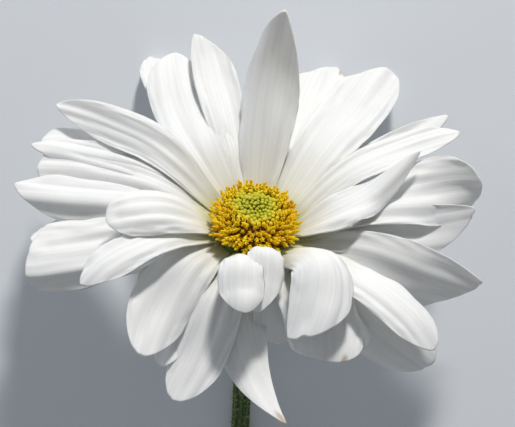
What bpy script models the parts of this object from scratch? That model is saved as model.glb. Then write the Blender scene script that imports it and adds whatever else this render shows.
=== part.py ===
"""A cut white daisy laid on its back: its face looks up and nods away from the stem.

Lengths in the tables are millimetres from the head's centre, the point on the head's axis
where the middle row of rays grows. +X and +Y lie along the surface that carries the flower,
+Y away from the stem, and +Z is up. The finished part is in metres.
"""
import math
import random
from collections import namedtuple

import bmesh
import bpy
from mathutils import Matrix, Vector

MM = 0.001

# Pose of the head
NOD = math.radians(44.0)          # lean of the head's axis away from straight up
LEAN = math.radians(7.0)          # how far that lean is turned toward +X
HEAD_HEIGHT = 19.8                # head's centre above the surface

# Ring of tissue that the rays grow from
COLLAR_INNER, COLLAR_OUTER = 4.4, 6.3
COLLAR_BOTTOM, COLLAR_TOP = -1.6, 0.65
ROOT_RADIUS = 5.5
ROW_HEIGHT = {"outer": -1.1, "middle": -0.5, "inner": 0.1}

# Ray petals
ROOT_SHARE = 0.38                 # a ray's width at its root, as a share of its full width
CHANNEL_END = 0.45                # share of the length over which the channel opens out
END_WIDTH = 0.85                  # width at the start of the tip, as a share of the full width
OVAL_POWER, POINT_POWER = 2.2, 1.3
EDGE_ROLL_START = 0.35            # share of its full edge roll that a ray has at the root
TURN_STEPS = 20                   # steps from a midrib to its edge when the section is added up
ARCH_END = 0.75                   # share of the length over which a ray rises and sinks back
CURL_START = 0.55                 # share of the length after which a tip curls
RAY_THICKNESS = 0.66
RAY_STEPS = (0.0, 0.09, 0.22, 0.37, 0.52, 0.67, 0.80, 0.91, 1.0)
RAY_ACROSS = (-1.0, -0.5, 0.0, 0.5, 1.0)

# Disc
DISC_RADIUS = 5.9
DISC_BOTTOM, DISC_RIM, DISC_TOP = 1.65, 2.1, 4.7
DOME_POWER = 0.7                  # below 1 gives the dome full shoulders
DISC_UNDERCUT = 0.25              # how far the core draws in below its rim
BUD_ZONE = 3.35                   # radius of the closed middle
ZONE_GAP = 0.3
DISC_WALLS = (5.85, 5.2, 4.3)     # radii at which the florets' core changes slope
BUD_WALLS = (2.3, 1.2, 0.4)
FLORET_COUNT = 145                # florets and buds together
FLORET_RADIUS, FLORET_ROOT_RADIUS = 0.36, 0.22
FLORET_LENGTH, RIM_FLORET_LENGTH = 1.0, 1.7
FLORET_SINK = 0.6                 # how deep a root is sunk in the core
FLORET_POINT = 0.15
RIM_INSET = 0.5                   # how far the outermost florets are set back inward
BUD_RADIUS, BUD_ROOT_RADIUS = 0.38, 0.3
BUD_SHOULDER, BUD_LENGTH, BUD_SINK = 0.12, 0.42, 0.5
INNER_LEAN, RIM_LEAN, BACK_LIFT = 0.15, 0.70, 0.30   # radians that florets lean out
KNOB_SIDES = 4

# Involucre, with the receptacle inside it
BOSS_RADIUS, BOSS_TOP = 4.1, 1.35
CUP_RIM_RADIUS, CUP_RIM_HEIGHT = 6.2, -1.9
NECK_RADIUS, NECK_HEIGHT = 1.6, -7.0
BRACT_ROWS = ((0.10, 0.74, 2.7), (0.36, 1.05, 2.9))
BRACTS_PER_ROW = 12
BRACT_THICKNESS = 0.6
BRACT_SINK, BRACT_STAND, BRACT_ROW_STAND = 0.12, 0.62, 0.1   # how it leaves the cup
BRACT_FACE = (0.75, -0.66)        # outward and along-axis parts of a bract's face direction
BRACT_ROOM = 0.4                  # how far outside the cup a bract's width is measured
BRACT_TAPER = 0.75                # share of its width that a bract loses toward its tip
BRACT_TURN_SPREAD, BRACT_REACH_SPREAD = 0.08, (-0.05, 0.03)
BRACT_SEED = 5
CUP_STEPS = 4

# Stem
STEM_RADIUS = 1.3
STEM_GAP = 0.3
STEM_RIBS = 8
RIB_DEPTH = 0.06
TOUCHDOWN = (-2.25, -35.0)        # where the bent stem comes to lie on the surface
STEM_END = (-6.0, -92.0)
STEM_BOW = 0.9
NECK_PULL, LANDING_PULL = 11.0, 12.0   # how long the bend keeps its direction at each end
NECK_STEPS, RUN_STEPS = 11, 12

TURN_SIDES = 24
GOLDEN_ANGLE = math.pi * (3.0 - math.sqrt(5.0))

# A fold turns the outer part of a blade toward its face: side -1 left or 1 right, where across
# the half width it starts and ends, degrees, where along the ray it begins and is full, and
# where it eases and is gone.
Fold = namedtuple("Fold", "side start end turn begin full ease gone", defaults=(2.0, 3.0))

# Each ray: row, azimuth of its root in degrees, middle and tip of its midrib, width, roll at
# the middle and the tip, roll-up of the left and the right edge (down where negative), share of
# the length where it is widest, share taken by the tip, how pointed the tip is, how far it is
# set to one side, how far the tip curls down, how far the ray arches up near its root, how many
# degrees the root is rolled into a channel, and its folds.
Ray = namedtuple("Ray", "row azimuth middle tip width roll edges belly tip_share pointed skew curl"
                 " arch channel folds", defaults=(1.0, 25.0, ()))

RAYS = (
    Ray("middle", 88, (1.6, 17.6, -6.5), (4.4, 33.4, -1.5), 10.4, (0, 0), (-25, 10), 0.62, 0.46, 0.35, 0.1,
        0, arch=1.2, folds=(Fold(-1, 0.2, 0.4, -40, 0.0, 0.2),)),
    Ray("outer", 104, (-4.6, 17.8, -10.5), (-7.6, 30.4, -16.5), 7.0, (0, 0), (20, 20), 0.66, 0.28, 0.35,
        -0.5, 0, arch=1.0),
    Ray("outer", 124, (-10.4, 15.6, -11.5), (-15.9, 26.8, -19.6), 6.6, (0, 0), (15, 15), 0.72, 0.16, 0.2,
        0.0, 0),
    Ray("middle", 118, (-9.4, 15.0, -8.0), (-12.6, 27.2, -16.6), 9.2, (0, -6), (-10, -10), 0.72, 0.20, 0.1,
        0.1, 0, arch=1.3),
    Ray("middle", 112, (-5.9, 14.8, -9.2), (-9.3, 25.4, -17.2), 5.4, (0, 0), (25, -10), 0.70, 0.24, 0.4,
        -0.1, 0, arch=0.8),
    Ray("middle", 148, (-16.6, 13.3, -4.5), (-30.1, 18.8, -9.0), 6.2, (-32, -28), (-5, 5), 0.58, 0.36, 0.3,
        0.15, 0, arch=1.2),
    Ray("outer", 152, (-19.0, 11.1, -5.8), (-32.3, 13.7, -8.8), 6.8, (0, 0), (10, -10), 0.70, 0.16, 0.2,
        0.0, 0),
    Ray("middle", 160, (-19.4, 9.5, -3.6), (-33.7, 12.8, -6.0), 6.0, (-9, -12), (-30, -10), 0.60, 0.34,
        0.4, 0.1, 0),
    Ray("outer", 166, (-17.8, 7.3, -2.2), (-32.6, 9.7, -4.4), 7.8, (-17, -13), (-14, -15), 0.70, 0.10, 0.1,
        0.0, 0, folds=(Fold(-1, 0.02, 0.3, -30, 0.2, 0.4),)),
    Ray("middle", 174, (-20.8, 4.2, 0.0), (-36.1, 5.9, -1.5), 9.0, (-9, -12), (-20, -24), 0.72, 0.36, 0.3,
        0.3, 0, folds=(Fold(-1, 0.0, 0.4, -42, 0.15, 0.35),)),
    Ray("outer", 182, (-19.0, 0.4, -0.5), (-33.4, -1.3, 0.0), 7.5, (10, 10), (10, 10), 0.65, 0.20, 0.2,
        0.0, 0),
    Ray("inner", 186, (-14.0, 2.9, 7.0), (-21.9, 2.9, 9.6), 8.4, (-11, -13), (-32, -28), 0.55, 0.34, 0.1,
        0.0, 2.0),
    Ray("middle", 192, (-19.8, -2.4, 3.6), (-34.2, -4.5, 5.0), 12.2, (-17, -21), (0, -18), 0.90, 0.22, 0.1,
        -0.55, 0, folds=(Fold(-1, 0.42, 0.55, -55, 0.35, 0.55),)),
    Ray("middle", 198, (-16.4, -2.2, 9.4), (-25.6, -7.2, 13.8), 6.6, (0, 0), (-25, -20), 0.62, 0.34, 0.3,
        0.0, 1.5),
    Ray("outer", 208, (-11.3, -4.5, 2.5), (-16.8, -8.7, 5.0), 5.6, (0, 0), (20, 20), 0.60, 0.25, 0.3, 0.0,
        0),
    Ray("middle", 222, (-11.4, -7.8, 7.6), (-16.5, -18.7, 12.0), 9.6, (-16, -20), (-24, -18), 0.60, 0.28,
        0.2, 0.1, -1.5),
    Ray("outer", 230, (-9.05, -9.55, 5.0), (-13.5, -20.0, 9.5), 6.5, (0, 0), (10, 10), 0.60, 0.25, 0.2,
        0.0, 0),
    Ray("outer", 244, (-6.2, -13.7, 8.2), (-11.3, -25.1, 9.6), 8.8, (0, 0), (-15, -22), 0.65, 0.28, 0.1,
        0.0, -1.5),
    Ray("outer", 256, (-1.8, -17.2, 8.0), (5.1, -28.3, 14.0), 9.2, (0, 0), (-5, -72), 0.58, 0.62, 0.9, 0.0,
        0),
    Ray("inner", 250, (-1.7, -6.4, 12.4), (-1.5, -11.0, 17.2), 7.8, (0, 0), (-52, -48), 0.66, 0.50, 0.10,
        -0.1, 1.8, arch=2.2, channel=-40),
    Ray("inner", 278, (1.5, -4.9, 9.9), (0.8, -11.4, 14.5), 7.2, (0, 4), (-50, -46), 0.66, 0.46, 0.25, 0.1,
        1.6, arch=2.2, channel=-30),
    Ray("inner", 308, (9.5, -6.2, 11.5), (7.5, -15.9, 17.6), 10.9, (0, 0), (-45, -38), 0.72, 0.42, 0.15,
        0.6, 2.0, arch=1.7, channel=-30),
    Ray("middle", 300, (9.5, -11.0, 9.0), (10.9, -18.1, 14.0), 12.0, (0, 0), (-30, -40), 0.62, 0.20, 0.1,
        0.0, 2.0),
    Ray("outer", 312, (11.1, -9.7, 5.0), (16.4, -17.6, 8.0), 6.5, (0, 0), (-20, -20), 0.65, 0.25, 0.2, 0.0,
        0),
    Ray("middle", 280, (3.3, -9.6, 6.0), (3.6, -16.8, 6.6), 8.0, (0, 0), (12, 12), 0.65, 0.25, 0.2, 0.0, 0),
    Ray("middle", 322, (18.0, -8.5, 9.4), (27.6, -16.3, 13.4), 8.2, (-8, -8), (-25, -30), 0.62, 0.28, 0.2,
        0.0, 2.2),
    Ray("outer", 316, (14.6, -11.0, 4.5), (26.6, -19.9, 5.5), 11.6, (22, 50), (-10, -56), 0.70, 0.24, 0.2,
        -0.1, 0),
    Ray("outer", 340, (18.8, -5.8, 1.5), (33.6, -10.0, 0.0), 11.0, (46, 80), (-5, -12), 0.76, 0.36, 0.6,
        -0.6, 0),
    Ray("middle", 352, (19.2, -0.9, -1.0), (33.8, 1.8, -4.0), 7.8, (16, 58), (15, -12), 0.70, 0.32, 0.3,
        -0.5, 0),
    Ray("outer", 4, (21.2, 4.5, -2.4), (34.6, 6.7, -3.6), 10.6, (8, 84), (-5, -12), 0.76, 0.24, 0.1, 0.0,
        0),
    Ray("middle", 20, (17.2, 10.0, -4.0), (31.4, 14.8, -7.0), 5.8, (0, 10), (-15, -15), 0.60, 0.30, 0.25,
        0.0, 0),
    Ray("inner", 8, (14.8, 3.2, 0.4), (24.8, 12.4, -1.5), 7.0, (0, 0), (-10, 10), 0.50, 0.58, 0.7, 0.2, 0,
        arch=1.6, folds=(Fold(1, 0.05, 0.3, -55, 0.45, 0.7),)),
    Ray("outer", 28, (17.0, 9.6, -8.5), (29.8, 17.5, -12.0), 5.8, (0, 10), (20, 20), 0.45, 0.50, 0.15, 0.0,
        0),
    Ray("middle", 54, (12.2, 14.0, -10.0), (20.3, 25.1, -17.6), 10.0, (0, 0), (10, 10), 0.72, 0.18, 0.1,
        0.3, 0, arch=1.4),
    Ray("outer", 68, (7.6, 16.4, -12.8), (11.4, 25.6, -20.0), 11.2, (0, 0), (20, 15), 0.72, 0.36, 0.5,
        0.35, 0, arch=0.5, folds=(Fold(-1, 0.65, 0.8, 90, 0.0, 0.3),)),
)

AXIS = Vector((math.sin(NOD) * math.sin(LEAN), math.sin(NOD) * math.cos(LEAN), math.cos(NOD)))
SIDE = Vector((math.cos(LEAN), -math.sin(LEAN), 0.0))
BACK = AXIS.cross(SIDE)


def clear_scene():
    for obj in list(bpy.data.objects):
        bpy.data.objects.remove(obj, do_unlink=True)


def on_head(radius, azimuth, height):
    """A point given by its place round and along the head's axis."""
    return (SIDE * math.cos(azimuth) + BACK * math.sin(azimuth)) * radius + AXIS * height


def smooth_step(x):
    x = min(max(x, 0.0), 1.0)
    return x * x * (3.0 - 2.0 * x)


def section_turn(ray, t, side, reach):
    """How far a blade has turned toward its face, in radians, at a share of its half width."""
    edge = ray.edges[0] if side < 0 else ray.edges[1]
    edge *= EDGE_ROLL_START + (1 - EDGE_ROLL_START) * smooth_step(2 * t)
    turn = reach * (edge + ray.channel * (1 - smooth_step(t / CHANNEL_END)))
    for fold in ray.folds:
        if fold.side == side and reach > fold.start:
            grown = smooth_step((t - fold.begin) / (fold.full - fold.begin))
            kept = 1.0 - smooth_step((t - fold.ease) / (fold.gone - fold.ease))
            turn += fold.turn * grown * kept * smooth_step((reach - fold.start) / (fold.end - fold.start))
    return math.radians(turn)


def ray_point(ray, along, across):
    """Middle of the blade and its face direction, from the root (0) to the tip (1)."""
    root = on_head(ROOT_RADIUS, math.radians(ray.azimuth), ROW_HEIGHT[ray.row])
    middle, tip = Vector(ray.middle), Vector(ray.tip)
    side = 1.0 if across > ray.skew else -1.0
    edge = min(abs((across - ray.skew) / (1.0 - side * ray.skew)), 1.0)
    oval = 1.0 - math.sqrt(1.0 - edge ** OVAL_POWER)
    t = along * (1.0 - ray.tip_share * ((1.0 - ray.pointed) * oval + ray.pointed * edge ** POINT_POWER))

    centre = root * ((1 - t) * (1 - 2 * t)) + middle * (4 * t * (1 - t)) + tip * (t * (2 * t - 1))
    centre += AXIS * (ray.arch * math.sin(math.pi * min(t / ARCH_END, 1.0)) ** 2)
    run = (root * (4 * t - 3) + middle * (4 - 8 * t) + tip * (4 * t - 1)).normalized()
    face = (AXIS - run * AXIS.dot(run)).normalized()
    roll = 4 * t * (1 - t) * ray.roll[0] + t * (2 * t - 1) * ray.roll[1]
    face = Matrix.Rotation(math.radians(roll), 3, run) @ face
    right = run.cross(face)

    rise = math.sin(0.5 * math.pi * min(t / ray.belly, 1.0))
    fall = max((t - ray.belly) / (1.0 - ray.belly), 0.0)
    half = 0.5 * ray.width * (ROOT_SHARE + (1 - ROOT_SHARE) * rise) * (1 - (1 - END_WIDTH) * fall ** 2)
    side = 1.0 if across > 0 else -1.0
    reach = abs(across)
    out = up = 0.0
    for step in range(TURN_STEPS):
        turn = section_turn(ray, t, side, reach * (step + 0.5) / TURN_STEPS)
        out += math.cos(turn)
        up += math.sin(turn)
    share = half * reach / TURN_STEPS
    lift = share * up - ray.curl * max((t - CURL_START) / (1 - CURL_START), 0.0) ** 2
    turn = section_turn(ray, t, side, reach)
    point = centre + right * (side * share * out) + face * lift
    return point, face * math.cos(turn) - right * (side * math.sin(turn))


def closed_blade(surface, steps, acrosses, thickness):
    """A thin solid over a grid of surface points, split alike on both faces."""
    mesh = bmesh.new()
    layers = []
    for offset in (0.5 * thickness, -0.5 * thickness):
        layer = []
        for along in steps:
            points = (surface(along, across) for across in acrosses)
            layer.append([mesh.verts.new(point + normal * offset) for point, normal in points])
        layers.append(layer)
    top, bottom = layers
    last_row, last_column = len(steps) - 1, len(acrosses) - 1
    for i in range(last_row):
        for j in range(last_column):
            for layer in layers:
                a, b, c, d = layer[i][j], layer[i + 1][j], layer[i + 1][j + 1], layer[i][j + 1]
                mesh.faces.new((a, b, c))
                mesh.faces.new((a, c, d))
    rim = [(i, 0) for i in range(last_row)]
    rim += [(last_row, j) for j in range(last_column)]
    rim += [(i, last_column) for i in range(last_row, 0, -1)]
    rim += [(0, j) for j in range(last_column, 0, -1)]
    for (i, j), (k, m) in zip(rim, rim[1:] + rim[:1]):
        mesh.faces.new((top[i][j], top[k][m], bottom[k][m]))
        mesh.faces.new((top[i][j], bottom[k][m], bottom[i][j]))
    return mesh


def loft(rings, start=None, end=None):
    """A closed skin over rings of points, each end closed flat or drawn to a point."""
    mesh = bmesh.new()
    loops = [[mesh.verts.new(point) for point in ring] for ring in rings]
    for low, high in zip(loops, loops[1:]):
        for i in range(len(low)):
            k = (i + 1) % len(low)
            mesh.faces.new((low[i], low[k], high[k], high[i]))
    for loop, tip in ((loops[0], start), (loops[-1], end)):
        if tip is None:
            mesh.faces.new(loop)
        else:
            apex = mesh.verts.new(tip)
            for i in range(len(loop)):
                mesh.faces.new((loop[i], loop[(i + 1) % len(loop)], apex))
    return mesh


def turned(profile, sides=TURN_SIDES, hollow=False):
    """A solid turned round the head's axis from (radius, height) points."""
    azimuths = [2 * math.pi * i / sides for i in range(sides)]
    rings = [[on_head(radius, azimuth, height) for azimuth in azimuths] for radius, height in profile]
    if not hollow:
        return loft(rings)
    mesh = bmesh.new()
    loops = [[mesh.verts.new(point) for point in ring] for ring in rings]
    for low, high in zip(loops, loops[1:] + loops[:1]):
        for i in range(sides):
            k = (i + 1) % sides
            mesh.faces.new((low[i], low[k], high[k], high[i]))
    return mesh


def finished(mesh, name):
    """Turn a mesh built in millimetres into an object."""
    bmesh.ops.triangulate(mesh, faces=[face for face in mesh.faces if len(face.verts) > 3])
    bmesh.ops.recalc_face_normals(mesh, faces=mesh.faces)
    bmesh.ops.transform(mesh, matrix=Matrix.Scale(MM, 4), verts=mesh.verts)
    data = bpy.data.meshes.new(name)
    mesh.to_mesh(data)
    mesh.free()
    obj = bpy.data.objects.new(name, data)
    bpy.context.scene.collection.objects.link(obj)
    return obj


def drop_scraps(data):
    """Keep only the largest shell, which fills sealed hollows and drops loose bits."""
    mesh = bmesh.new()
    mesh.from_mesh(data)
    left, shells = set(mesh.verts), []
    while left:
        shell, edge = set(), [left.pop()]
        while edge:
            vert = edge.pop()
            shell.add(vert)
            near = [link.other_vert(vert) for link in vert.link_edges]
            edge += [other for other in near if other in left]
            left.difference_update(near)
        shells.append(shell)
    keep = max(shells, key=len)
    bmesh.ops.delete(mesh, geom=[vert for vert in mesh.verts if vert not in keep], context="VERTS")
    mesh.to_mesh(data)
    mesh.free()


def fused(name, body, pieces):
    """Join every piece to the body with one Boolean union, then remove the pieces."""
    obj = finished(body, name)
    group = bpy.data.collections.new(name + "_pieces")
    bpy.context.scene.collection.children.link(group)
    for index, piece in enumerate(pieces):
        part = finished(piece, f"{name}_{index}")
        bpy.context.scene.collection.objects.unlink(part)
        group.objects.link(part)
    union = obj.modifiers.new("Union", "BOOLEAN")
    union.operation = "UNION"
    union.operand_type = "COLLECTION"
    union.collection = group
    union.solver = "MANIFOLD"
    bpy.context.view_layer.update()
    result = bpy.data.meshes.new_from_object(obj.evaluated_get(bpy.context.evaluated_depsgraph_get()))
    obj.modifiers.clear()
    obj.data = result
    drop_scraps(result)
    for part in list(group.objects):
        bpy.data.objects.remove(part, do_unlink=True)
    bpy.data.collections.remove(group)
    return obj


def painted(obj, colour, roughness):
    material = bpy.data.materials.new(obj.name)
    material.use_nodes = True
    shader = material.node_tree.nodes["Principled BSDF"]
    shader.inputs["Base Color"].default_value = (*colour, 1.0)
    shader.inputs["Roughness"].default_value = roughness
    shader.inputs["Metallic"].default_value = 0.0
    obj.data.materials.clear()
    obj.data.materials.append(material)
    return obj


def build_rays():
    collar = turned(
        ((COLLAR_INNER, COLLAR_BOTTOM), (COLLAR_OUTER, COLLAR_BOTTOM),
         (COLLAR_OUTER, COLLAR_TOP), (COLLAR_INNER, COLLAR_TOP)), hollow=True)
    blades = [
        closed_blade(lambda along, across, ray=ray: ray_point(ray, along, across),
                     RAY_STEPS, RAY_ACROSS, RAY_THICKNESS)
        for ray in RAYS]
    painted(fused("ray_petals", collar, blades), (0.86, 0.86, 0.83), 0.5)


def dome_height(radius):
    return DISC_RIM + (DISC_TOP - DISC_RIM) * (1.0 - (radius / DISC_RADIUS) ** 2) ** DOME_POWER


def dome_out(radius):
    """How far the dome's surface direction leans outward, in radians."""
    step = 0.05
    inner = min(radius, DISC_RADIUS - 2 * step)
    return math.atan2(dome_height(inner) - dome_height(inner + step), step)


def floret_places():
    """Radius and azimuth of each floret, in the spiral that a daisy's disc follows."""
    for index in range(FLORET_COUNT):
        yield DISC_RADIUS * math.sqrt((index + 0.5) / FLORET_COUNT), index * GOLDEN_ANGLE


def upright_piece(base, direction, girths, tip_height):
    """A few-sided knob: rings of (height, radius) along its own direction, drawn to a blunt point."""
    across = direction.orthogonal().normalized()
    other = direction.cross(across)
    angles = [2 * math.pi * i / KNOB_SIDES for i in range(KNOB_SIDES)]
    rings = [[base + direction * height + (across * math.cos(a) + other * math.sin(a)) * radius
              for a in angles] for height, radius in girths]
    return loft(rings, end=base + direction * tip_height)


def build_disc():
    ring_edge, middle_edge = BUD_ZONE + 0.5 * ZONE_GAP, BUD_ZONE - 0.5 * ZONE_GAP
    outer = [(radius, dome_height(radius)) for radius in (*DISC_WALLS, ring_edge)]
    ring = [(ring_edge, DISC_BOTTOM), (DISC_WALLS[0] - DISC_UNDERCUT, DISC_BOTTOM)] + outer
    florets, buds = [], []
    for radius, azimuth in floret_places():
        outward = on_head(1.0, azimuth, 0.0)
        if radius < BUD_ZONE:
            radius = min(radius, middle_edge - BUD_RADIUS)
            lean = dome_out(radius)
            girths = ((-BUD_SINK, BUD_ROOT_RADIUS), (BUD_SHOULDER, BUD_RADIUS))
            length = BUD_LENGTH
        else:
            radius = max(radius, ring_edge + FLORET_RADIUS)
            rim = smooth_step((radius - BUD_ZONE) / (DISC_RADIUS - BUD_ZONE))
            lean = INNER_LEAN + rim * (RIM_LEAN - BACK_LIFT * math.sin(azimuth))
            length = FLORET_LENGTH + rim * (RIM_FLORET_LENGTH - FLORET_LENGTH)
            girths = ((-FLORET_SINK, FLORET_ROOT_RADIUS), (length - FLORET_POINT, FLORET_RADIUS))
        direction = AXIS * math.cos(lean) + outward * math.sin(lean)
        base = on_head(radius, azimuth, dome_height(min(radius, DISC_WALLS[0])))
        if radius < BUD_ZONE:
            buds.append(upright_piece(base, direction, girths, length))
        else:
            florets.append(upright_piece(base - outward * (RIM_INSET * rim), direction, girths, length))
    painted(fused("disc_florets", turned(ring, hollow=True), florets), (0.80, 0.48, 0.02), 0.6)
    middle = [(middle_edge, DISC_BOTTOM)]
    middle += [(radius, dome_height(radius)) for radius in (middle_edge, *BUD_WALLS)]
    painted(fused("disc_buds", turned(middle), buds), (0.42, 0.47, 0.05), 0.6)


def cup_profile(share):
    """Radius and height of the involucre's outside, from the neck (0) to the rim (1)."""
    swell = math.sin(0.5 * math.pi * share)
    radius = NECK_RADIUS + (CUP_RIM_RADIUS - NECK_RADIUS) * swell
    height = NECK_HEIGHT + 1.0 + (CUP_RIM_HEIGHT - NECK_HEIGHT - 1.0) * share ** 1.6
    return radius, height


def build_involucre():
    chance = random.Random(BRACT_SEED)
    shares = [i / CUP_STEPS for i in range(CUP_STEPS + 1)]
    profile = [(NECK_RADIUS, NECK_HEIGHT)] + [cup_profile(share) for share in shares]
    profile += [(BOSS_RADIUS, CUP_RIM_HEIGHT), (BOSS_RADIUS, BOSS_TOP)]
    bracts = []
    for row, (low, high, width) in enumerate(BRACT_ROWS):
        for index in range(BRACTS_PER_ROW):
            turn = index + 0.5 * row + chance.uniform(-BRACT_TURN_SPREAD, BRACT_TURN_SPREAD)
            azimuth = 2 * math.pi * turn / BRACTS_PER_ROW
            reach = high + chance.uniform(*BRACT_REACH_SPREAD)

            def surface(along, across, azimuth=azimuth, low=low, reach=reach, width=width, row=row):
                radius, height = cup_profile(low + (reach - low) * along)
                half = 0.5 * width * (1 - BRACT_TAPER * along ** 2) * (BRACT_TAPER + 0.5 * min(along, 0.5))
                stand = BRACT_STAND * along + BRACT_ROW_STAND * row - BRACT_SINK
                spot = azimuth + across * half / (radius + BRACT_ROOM)
                outward = on_head(BRACT_FACE[0], azimuth, BRACT_FACE[1])
                return on_head(radius, spot, height) + outward * stand, outward

            bracts.append(closed_blade(surface, (0.0, 0.55, 1.0), (-1.0, 0.0, 1.0), BRACT_THICKNESS))
    painted(fused("involucre", turned(profile), bracts), (0.20, 0.30, 0.06), 0.65)


def stem_route():
    """Points down the middle of the stem: a bent neck, then a run along the surface."""
    floor = STEM_RADIUS * (1 + RIB_DEPTH) - HEAD_HEIGHT
    top = AXIS * (NECK_HEIGHT - STEM_GAP)
    landing = Vector((*TOUCHDOWN, floor))
    end = Vector((*STEM_END, floor))
    run = (end - landing).normalized()
    pull_top, pull_landing = top - AXIS * NECK_PULL, landing - run * LANDING_PULL
    points = []
    for i in range(NECK_STEPS):
        t = i / NECK_STEPS
        points.append(top * (1 - t) ** 3 + pull_top * (3 * t * (1 - t) ** 2)
                      + pull_landing * (3 * t * t * (1 - t)) + landing * t ** 3)
    across = run.cross(Vector((0, 0, 1)))
    for i in range(RUN_STEPS + 1):
        t = i / RUN_STEPS
        points.append(landing.lerp(end, t) + across * (STEM_BOW * math.sin(math.pi * t) ** 2))
    return points


def build_stem():
    points = stem_route()
    rings = []
    across = SIDE
    sides = 2 * STEM_RIBS
    for i, point in enumerate(points):
        run = (points[min(i + 1, len(points) - 1)] - points[max(i - 1, 0)]).normalized()
        if i == 0:
            run = -AXIS
        across = (across - run * across.dot(run)).normalized()
        other = run.cross(across)
        ring = []
        for k in range(sides):
            angle = 2 * math.pi * (k + 0.5) / sides
            radius = STEM_RADIUS * (1 + RIB_DEPTH * (1 if k % 2 else -1))
            ring.append(point + (across * math.cos(angle) + other * math.sin(angle)) * radius)
        rings.append(ring)
    painted(finished(loft(rings), "stem"), (0.16, 0.26, 0.05), 0.6)


def place_head():
    """Hang every node on the head's centre, with the middle of the outline on the origin."""
    nodes = [obj for obj in bpy.data.objects if obj.type == "MESH"]
    points = [vert.co for obj in nodes for vert in obj.data.vertices]
    middle = [0.5 * (min(co[i] for co in points) + max(co[i] for co in points)) for i in (0, 1)]
    head = bpy.data.objects.new("head_centre", None)
    head.location = (-middle[0], -middle[1], HEAD_HEIGHT * MM)
    bpy.context.scene.collection.objects.link(head)
    for obj in nodes:
        obj.parent = head


def main():
    clear_scene()
    build_rays()
    build_disc()
    build_involucre()
    build_stem()
    place_head()


main()
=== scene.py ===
"""Looks of a cut white daisy: ray petals, disc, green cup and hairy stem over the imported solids.

Lengths are in millimetres, and places are measured from the head's centre, the point on the
head's axis where the rays grow. +X and +Y lie along the surface, +Y away from the stem.
"""
import math
import random
from collections import namedtuple
from dataclasses import dataclass

import bpy
from mathutils import Matrix, Vector, noise


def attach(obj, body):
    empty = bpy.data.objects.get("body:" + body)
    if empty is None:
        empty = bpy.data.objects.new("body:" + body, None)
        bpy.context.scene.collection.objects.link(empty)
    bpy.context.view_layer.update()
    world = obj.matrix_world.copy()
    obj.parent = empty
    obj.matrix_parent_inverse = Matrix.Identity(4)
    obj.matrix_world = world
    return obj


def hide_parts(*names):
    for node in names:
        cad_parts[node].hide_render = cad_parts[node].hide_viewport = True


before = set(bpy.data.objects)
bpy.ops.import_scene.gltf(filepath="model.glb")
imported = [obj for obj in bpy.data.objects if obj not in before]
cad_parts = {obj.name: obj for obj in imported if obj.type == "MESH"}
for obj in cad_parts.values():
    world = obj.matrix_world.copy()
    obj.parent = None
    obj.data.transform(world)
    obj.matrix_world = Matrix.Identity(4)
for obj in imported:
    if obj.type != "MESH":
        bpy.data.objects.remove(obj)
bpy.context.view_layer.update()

bl_info = {
    "name": "White daisy",
    "version": (1, 0, 0),
    "blender": (4, 5, 0),
    "location": "3D View > Sidebar > Daisy",
    "description": "Dresses a cut white daisy: petals, disc florets, bracts, stem and hairs",
    "category": "Object",
}

MM = 0.001

# Pose of the head, as in the solids
NOD = math.radians(44.0)    # lean of the head's axis away from straight up
LEAN = math.radians(7.0)    # how far that lean is turned toward +X
HEAD = Vector((0.43, 29.40, 19.80))  # the head's centre in the part's frame
AXIS = Vector((math.sin(NOD) * math.sin(LEAN), math.sin(NOD) * math.cos(LEAN), math.cos(NOD)))
SIDE = Vector((math.cos(LEAN), -math.sin(LEAN), 0.0))
BACK = AXIS.cross(SIDE)

# Ray petals
ROOT_RADIUS = 5.5
ROW_HEIGHT = {"outer": -1.1, "middle": -0.5, "inner": 0.1}
ROOT_SHARE = 0.38           # a ray's width at its root, as a share of its full width
END_WIDTH = 0.85            # the same at its end, before the tip's outline is cut
OVAL_POWER, POINT_POWER = 2.2, 1.3  # shapes of an oval tip and of a pointed one
CHANNEL_END = 0.45          # share of the length over which the channel opens out
EDGE_ROLL_START = 0.35      # share of its full edge roll that a ray has at the root
ARCH_END = 0.75             # share of the length over which a ray rises and sinks back
CURL_START = 0.55           # share of the length after which a tip curls
NOTCH_START = 0.75          # share of the length after which the notches cut in
TURN_STEPS = 20             # steps from a ray's midrib to its edge when its section is added up
RAY_ROWS, RAY_COLUMNS = 60, 34
ROW_PACKING = 1.15          # how much closer the rows of points stand near the tip
EDGE_PACKING = 0.55         # how much closer the columns stand near the edges
EDGE_THINNING = 0.55        # share of the thickness that is lost toward the edges
GROOVE_SPREAD = 0.85        # how far out the fine grooves reach, as a share of the half width
FURROW_IN, FURROW_OUT = 0.25, 0.12  # shares of the length over which a furrow begins and ends
SMALL_NOTCHES = 2           # notches that every tip has besides its own
ROOT_THICKNESS, TIP_THICKNESS = 1.25, 0.80  # shares of the petals' thickness
RAY_SEED = 100

# Unevenness of a ray: how often it repeats across and along, and a number that keeps the kinds apart
RIB_PATTERN, CRUMPLE_PATTERN, EDGE_PATTERN = (3.4, 1.3, 9.0), (1.7, 2.6, 0.0), (7.0, 9.0, 5.0)

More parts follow.
